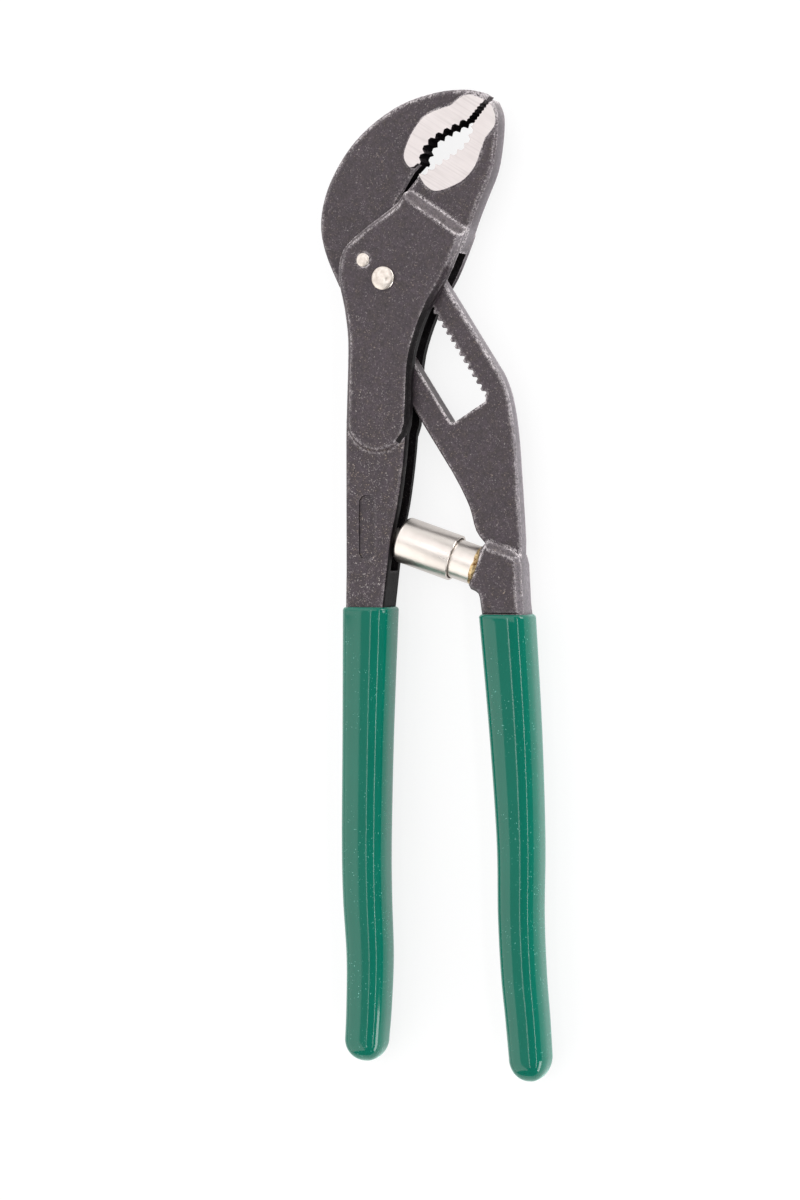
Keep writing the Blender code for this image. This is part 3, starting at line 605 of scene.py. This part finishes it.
# Spring strut, with u along its axis from the closed end of the sleeve
STRUT_AT = Vector((3.0, -65.3, MID_Z))
STRUT_ANGLE = math.radians(-STRUT_SLOPE)
STRUT_U = Vector((math.cos(STRUT_ANGLE), math.sin(STRUT_ANGLE), 0))
STRUT_V = Vector((-STRUT_U.y, STRUT_U.x, 0))
STRUT_W = Vector((0, 0, 1))
STRUT_POINTS = 96
SLEEVE_R = 5.9
SLEEVE_L = 15.0
SLEEVE_BORE = 5.3
SLEEVE_FLOOR = 1.2
SLEEVE_ROUND = 1.0
SLEEVE_RIM = 0.2
SLEEVE_INNER_RIM = 0.12
SLEEVE_NOSE_R = 2.3
SLEEVE_NOSE_L = 3.0
SLEEVE_NOSE_ROUND = 1.1
SLEEVE_NOSE_FOOT = 0.1
PLUNGER_R = 5.0
PLUNGER_BORE = 4.1
PLUNGER_START = 5.0
PLUNGER_RIM = 0.2
PLUNGER_FLOOR = 2.0
SEAT = 21.1
TENON_R = 2.7
TENON_L = 4.5
TENON_EDGE = 0.1
SPRING_R = 3.3
SPRING_WIRE = 0.5
SPRING_FROM = 2.0
SPRING_TO = 18.3
SPRING_TURNS = 7
SPRING_PER_TURN = 40
SPRING_AROUND = 12
# Filler round the plunger's end: its end past the seat, and the size, count and start of its waves
BRAZE_POINTS = 120
BRAZE_END = 1.1
BRAZE_WAVES = ((0.22, 3, 0.8), (0.16, 7, 2.1), (0.12, 13, 0.3))


def on_strut(u, radius, angle):
    """The point at u along the strut, this far from its axis and turned about it."""
    across = STRUT_V * (radius * math.cos(angle)) + STRUT_W * (radius * math.sin(angle))
    return STRUT_AT + STRUT_U * u + across


def corner(u, r, radius, first, last, steps=6):
    """Profile points round a corner whose centre is at u, r."""
    turns = [math.radians(first + (last - first) * step / steps) for step in range(steps + 1)]
    return [(u + radius * math.cos(turn), r + radius * math.sin(turn)) for turn in turns]


def strut_turned(name, profile):
    """A piece turned about the strut's axis, from points along it and out from it."""
    turns = [2 * math.pi * step / STRUT_POINTS for step in range(STRUT_POINTS)]
    return loft(name, [[on_strut(u, radius, turn) for turn in turns] for u, radius in profile])


def sleeve(plating):
    """Drawn cup with a rounded closed end and a nose that runs in the channel."""
    profile = corner(SLEEVE_NOSE_ROUND - SLEEVE_NOSE_L, SLEEVE_NOSE_R - SLEEVE_NOSE_ROUND,
                     SLEEVE_NOSE_ROUND, 180, 90)
    profile += [(-SLEEVE_NOSE_FOOT, SLEEVE_NOSE_R), (0.0, SLEEVE_NOSE_R + SLEEVE_NOSE_FOOT)]
    profile += corner(SLEEVE_ROUND, SLEEVE_R - SLEEVE_ROUND, SLEEVE_ROUND, 180, 90, 10)
    profile += corner(SLEEVE_L - SLEEVE_RIM, SLEEVE_R - SLEEVE_RIM, SLEEVE_RIM, 90, 0, 4)
    profile += corner(SLEEVE_L - SLEEVE_INNER_RIM, SLEEVE_BORE + SLEEVE_INNER_RIM,
                      SLEEVE_INNER_RIM, 0, -90, 3)
    profile.append((SLEEVE_FLOOR, SLEEVE_BORE))
    mesh = strut_turned("sleeve_cup", profile)
    piece("sleeve_cup", mesh, "sleeve", "nickel_plate", ("strut_sleeve",), plating)


def plunger(plating):
    """Inner tube with its tenon."""
    rim_r = PLUNGER_R - PLUNGER_RIM
    profile = [(SEAT - PLUNGER_FLOOR, PLUNGER_BORE), (PLUNGER_START, PLUNGER_BORE),
               (PLUNGER_START, rim_r)]
    profile += corner(PLUNGER_START + PLUNGER_RIM, rim_r, PLUNGER_RIM, 180, 90, 3)[1:]
    profile += [(SEAT, PLUNGER_R), (SEAT, TENON_R), (SEAT + TENON_L - TENON_EDGE, TENON_R),
                (SEAT + TENON_L, TENON_R - TENON_EDGE)]
    mesh = strut_turned("plunger_tube", profile)
    piece("plunger_tube", mesh, "lever", "nickel_plate", ("strut_plunger",), plating)


def braze_ring(filler):
    """Filler round the end of the plunger, uneven all round.

    Its profile goes along the strut, and out from the skin of the plunger.
    """
    stop = SEAT + BRAZE_END
    rows = []
    for step in range(BRAZE_POINTS):
        angle = 2 * math.pi * step / BRAZE_POINTS
        uneven = 0.5
        for size, count, start in BRAZE_WAVES:
            uneven += size * math.sin(count * angle + start)
        back = SEAT - 0.15 - 0.55 * uneven
        rise = 0.08 + 0.16 * uneven
        profile = [(back, -0.15), (back + 0.08, 0.05), ((back + SEAT) / 2, 0.6 * rise),
                   (SEAT + 0.1, rise), (SEAT + 0.55, 0.5 * rise), (stop, -0.1), (stop, -0.6)]
        rows.append([on_strut(u, PLUNGER_R + out, angle) for u, out in profile])
    mesh = loft("braze_ring", rows, loop=True)
    piece("braze_ring", mesh, "lever", "nickel_plate", (), filler)


def coil(steel):
    """The spring inside the strut."""
    count = SPRING_TURNS * SPRING_PER_TURN
    climb = (SPRING_TO - SPRING_FROM) / (2 * math.pi * SPRING_TURNS * SPRING_R)
    turns = [2 * math.pi * step / SPRING_AROUND for step in range(SPRING_AROUND)]
    rings = []
    for step in range(count + 1):
        angle = 2 * math.pi * step / SPRING_PER_TURN
        u = SPRING_FROM + (SPRING_TO - SPRING_FROM) * step / count
        out = STRUT_V * math.cos(angle) + STRUT_W * math.sin(angle)
        run = STRUT_W * math.cos(angle) - STRUT_V * math.sin(angle) + STRUT_U * climb
        side = run.normalized().cross(out)
        centre = on_strut(u, SPRING_R, angle)
        rings.append([centre + (out * math.cos(turn) + side * math.sin(turn)) * SPRING_WIRE
                      for turn in turns])
    mesh = loft("strut_coil", rings)
    made = piece("strut_coil", mesh, "lever", "plain_steel", ("strut_spring",), steel)
    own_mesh(made)


# Pivot rivet and stop pin
RIVET_R = 2.95
RIVET_SHANK_R = 1.8
PIN_R = 1.5
PIN_HEAD_R = 1.7
PIN_AT = (-5.4, 4.7)
RIVET_REAR = 0.8
RIVET_REAR_ROUND = 0.3
RIVET_GAP = 0.1
RIVET_DOME_FROM = 0.4
RIVET_DOME = 0.6
PIN_REAR = 0.3
PIN_TOP = 0.5
PIN_RIM = 0.12
PIN_RIM_ROUND = 0.06
HEAD_POINTS = 72
DOME_TURN = 88.0
DENTS_FROM = 0.3
# Dents in the heads: place across and up, size and depth
RIVET_DENTS = [(0.1, 1.4, 0.5, 0.16), (1.35, -0.35, 0.5, 0.22),
               (0.4, 0.3, 0.7, 0.10), (-1.3, -0.4, 0.7, 0.06)]
PIN_DENTS = [(0.3, 0.2, 0.4, 0.08), (-0.5, -0.4, 0.45, 0.05)]


def dome(radius, foot, height, steps, first):
    """Profile points up a dome, to just short of its top."""
    turns = [math.radians(DOME_TURN * step / steps) for step in range(first, steps + 1)]
    return [(foot + height * math.sin(turn), radius * math.cos(turn)) for turn in turns]


def head(name, node, profile, at, dents, steel):
    """A pin about Z from its rear to its beaten front, from (height, radius) points."""
    rings = []
    for z, radius in profile:
        ring = []
        for step in range(HEAD_POINTS):
            angle = 2 * math.pi * step / HEAD_POINTS
            x, y = radius * math.cos(angle), radius * math.sin(angle)
            sunk = 0.0
            if z > BOSS_HALF + DENTS_FROM:
                for dx, dy, size, depth in dents:
                    sunk += depth * math.exp(-((x - dx) ** 2 + (y - dy) ** 2) / size ** 2)
            ring.append((at[0] + x, at[1] + y, MID_Z + z - sunk))
        rings.append(ring)
    piece(name, loft(name, rings), "body", "bright_steel", (node,), steel)


def rivet(steel):
    """Pivot rivet: flat rear head, shank and a beaten dome."""
    face = BOSS_HALF + RIVET_GAP
    rear = -BOSS_HALF - RIVET_REAR
    foot = face + RIVET_DOME_FROM
    profile = [(rear, 0.4), (rear, RIVET_R - RIVET_REAR_ROUND), (rear + 0.09, RIVET_R - 0.09),
               (rear + RIVET_REAR_ROUND, RIVET_R), (-face, RIVET_R), (-face, RIVET_SHANK_R),
               (face, RIVET_SHANK_R), (face, RIVET_R - 0.05), (face + 0.2, RIVET_R),
               (foot, RIVET_R - 0.02)]
    profile += dome(RIVET_R, foot, RIVET_DOME, steps=18, first=1)
    head("rivet_head", "pivot_rivet", profile, (0, 0), RIVET_DENTS, steel)


def pin(steel):
    """Stop pin with a beaten end."""
    low = -BOSS_HALF - PIN_REAR
    rim = BOSS_HALF + PIN_RIM
    foot = rim + PIN_RIM_ROUND
    profile = [(low, 0.3), (low, PIN_R - PIN_REAR), (low + PIN_REAR, PIN_R), (rim - 0.04, PIN_R),
               (rim, PIN_HEAD_R - 0.04)]
    profile += dome(PIN_HEAD_R, foot, BOSS_HALF + PIN_TOP - foot, steps=12, first=0)
    head("pin_head", "stop_pin", profile, PIN_AT, PIN_DENTS, steel)


# Finishes, with painted shade and painted light among them
OXIDE_DARK = (0.0410, 0.0292, 0.0375)
OXIDE_LIGHT = (0.0590, 0.0426, 0.0534)
DEEP_SHADE_DARK = (0.012, 0.010, 0.012)
DEEP_SHADE_LIGHT = (0.018, 0.016, 0.018)
RUBBED_AND_LIT = (0.205, 0.185, 0.202)
EDGE_WEAR_AND_LIGHT = 0.9
JAW_FADE = (3.0, 13.0)
BOX_SHADOW = (8.0, -9.0)
black = oxide("black_oxide", OXIDE_DARK, OXIDE_LIGHT, EDGE_WEAR_AND_LIGHT)
# Rubbing and painted light from the right on the sides of the jaw and lever that look right
jaw_side = oxide("jaw_side_oxide", OXIDE_DARK, OXIDE_LIGHT, EDGE_WEAR_AND_LIGHT, RUBBED_AND_LIT, JAW_FADE)
lever_side = oxide("lever_side_oxide", OXIDE_DARK, OXIDE_LIGHT, EDGE_WEAR_AND_LIGHT, RUBBED_AND_LIT)
# Near-black painted shade, with few specks and no lit edges, for the box joint and the jaws' mouth
deep_shade = oxide("deep_shade_oxide", DEEP_SHADE_DARK, DEEP_SHADE_LIGHT, 0.0, shine=0.0, dust=0.15)
# Painted shade on the body's sides that look right, darker down the left handle
shaded = oxide("shaded_oxide", OXIDE_DARK, OXIDE_LIGHT, EDGE_WEAR_AND_LIGHT, shadow=BOX_SHADOW, shine=0.1,
               dust=0.6)
bright = ground_steel()
plain = plain_steel("plain_steel", (0.52, 0.52, 0.53), (0.38, 0.38, 0.39))
beaten = plain_steel("beaten_steel", (0.86, 0.80, 0.74), (0.60, 0.53, 0.47))
plating = nickel()
vinyl = green_vinyl()

forging("body_forging", "body_lever", "body", black, bright, jaw_side, deep_shade, shaded)
forging("lever_forging", "jaw_lever", "lever", black, bright, lever_side, deep_shade)
grip("left_dip", "left_grip", "body", LEFT_GRIP, LEFT_END, vinyl)
grip("right_dip", "right_grip", "lever", RIGHT_GRIP, RIGHT_END, vinyl)
sleeve(plating)
plunger(plating)
braze_ring(braze())
coil(plain)
rivet(beaten)
pin(beaten)
for name in ("rack_pawl", "pivot_bush"):
    nodes[name].material_slots[0].material = plain


# Camera: where it looks from and at, and the height of the photograph's frame
VIEW_X = 0.332
VIEW_Y = 0.03
VIEW = Vector((VIEW_X, VIEW_Y, math.sqrt(1 - VIEW_X ** 2 - VIEW_Y ** 2)))
TARGET = Vector((2.3085, -80.7565, MID_Z)) * MM
DISTANCE = 0.874
PHOTO_HEIGHT = 1200
PIXELS_PER_MM = 3.96

right = Vector((VIEW.z, 0, -VIEW.x)).normalized()
up = VIEW.cross(right)
lens = bpy.data.cameras.new("camera")
lens.sensor_fit = "VERTICAL"
lens.angle_y = 2 * math.atan(PHOTO_HEIGHT / PIXELS_PER_MM / 2 * MM / DISTANCE)
camera = bpy.data.objects.new("camera", lens)
bpy.context.scene.collection.objects.link(camera)
look = Matrix((right, up, VIEW)).transposed().to_4x4()
camera.matrix_world = Matrix.Translation(TARGET + VIEW * DISTANCE) @ look
bpy.context.scene.camera = camera

# Floor: white paper that glows for the camera, for glass and more faintly for what mirrors it
FLOOR_HALF = 4.0
FLOOR_Z = -0.0002
PAPER = (0.86, 0.86, 0.87, 1)
GLOW = 1.1
GLOW_SHARE = 0.75
MIRRORED_SHARE = 0.7

floor_mesh = bpy.data.meshes.new("floor")
corners = [(-FLOOR_HALF, -FLOOR_HALF, 0), (FLOOR_HALF, -FLOOR_HALF, 0),
           (FLOOR_HALF, FLOOR_HALF, 0), (-FLOOR_HALF, FLOOR_HALF, 0)]
floor_mesh.from_pydata(corners, [], [(0, 1, 2, 3)])
floor = bpy.data.objects.new("floor", floor_mesh)
bpy.context.scene.collection.objects.link(floor)
floor.location.z = FLOOR_Z
paper = Shader("paper")
path = paper.node("ShaderNodeLightPath")
mirrored = paper.product(path.outputs["Is Glossy Ray"], MIRRORED_SHARE)
seen = paper.math("MAXIMUM", path.outputs["Is Camera Ray"], mirrored)
seen = paper.math("MAXIMUM", seen, path.outputs["Is Transmission Ray"])
matt = paper.node("ShaderNodeBsdfDiffuse")
matt.inputs["Color"].default_value = PAPER
glow = paper.node("ShaderNodeEmission")
glow.inputs["Color"].default_value = (1, 1, 1, 1)
glow.inputs["Strength"].default_value = GLOW
blend = paper.node("ShaderNodeMixShader")
paper.feed(blend.inputs["Fac"], paper.product(seen, GLOW_SHARE))
paper.feed(blend.inputs[1], matt.outputs[0])
paper.feed(blend.inputs[2], glow.outputs[0])
paper.feed(paper.tree.nodes["Material Output"].inputs["Surface"], blend.outputs[0])
paper.tree.nodes.remove(paper.main)
floor_mesh.materials.append(paper.material)

# World and lights, round the middle of the pliers
WORLD_COLOUR = (1.0, 0.99, 0.985, 1)
WORLD_LIGHT = 0.12
MIDDLE = Vector((0.01, -0.08, 0.007))
LIGHT_AT = 1.2
BACK_AT = Vector((0.1, 1.3, 0.42))
BACK_SIZE = (2.4, 0.8)

world = bpy.data.worlds.new("world")
bpy.context.scene.world = world
world.use_nodes = True
sky = world.node_tree.nodes["Background"]
sky.inputs["Color"].default_value = WORLD_COLOUR
sky.inputs["Strength"].default_value = WORLD_LIGHT


def lamp(name, place, side, up, width, length, radiance, colour=(1, 1, 1)):
    """A soft light of a given radiance, its width along side and its length along up."""
    made = bpy.data.lights.new(name, "AREA")
    made.shape = "RECTANGLE"
    made.size = width
    made.size_y = length
    made.energy = radiance * math.pi * width * length
    made.color = colour
    held = bpy.data.objects.new(name, made)
    bpy.context.scene.collection.objects.link(held)
    turn = Matrix((side, up, side.cross(up))).transposed().to_4x4()
    held.matrix_world = Matrix.Translation(place) @ turn


def panel(name, across, along, radiance, colour=(1, 1, 1)):
    """A lamp round the middle: its spread from straight up towards +X, and along Y, in degrees."""
    tilt = math.radians(sum(across) / 2)
    away = Vector((math.sin(tilt), 0, math.cos(tilt)))
    side = Vector((math.cos(tilt), 0, -math.sin(tilt)))
    width = 2 * LIGHT_AT * math.tan(math.radians(across[1] - across[0]) / 2)
    low, high = (LIGHT_AT * math.tan(math.radians(angle)) for angle in along)
    place = MIDDLE + away * LIGHT_AT + Vector((0, (low + high) / 2, 0))
    lamp(name, place, side, Vector((0, 1, 0)), width, high - low, radiance, colour)


panel("left_far", (-85, 18), (0.5, 60), 1.2, (1.0, 0.985, 0.99))
panel("left_near", (-85, -21), (-58, -2.5), 1.5, (1.0, 0.98, 0.95))
panel("ceiling", (-20.5, -8.5), (-45, -1), 0.3)
panel("slit_left", (-8.4, -6.6), (-45, 25), 5.0)
panel("slit_right", (35.0, 38.0), (-45, 25), 8.0)
panel("right_back", (64, 89.5), (18, 60), 6.4)
panel("right_front", (64, 89.5), (-60, -18), 6.4)
lamp("back", MIDDLE + BACK_AT, Vector((-1, 0, 0)), Vector((0, 0, 1)), *BACK_SIZE, 0.9)

view = bpy.context.scene.view_settings
view.view_transform = "Standard"
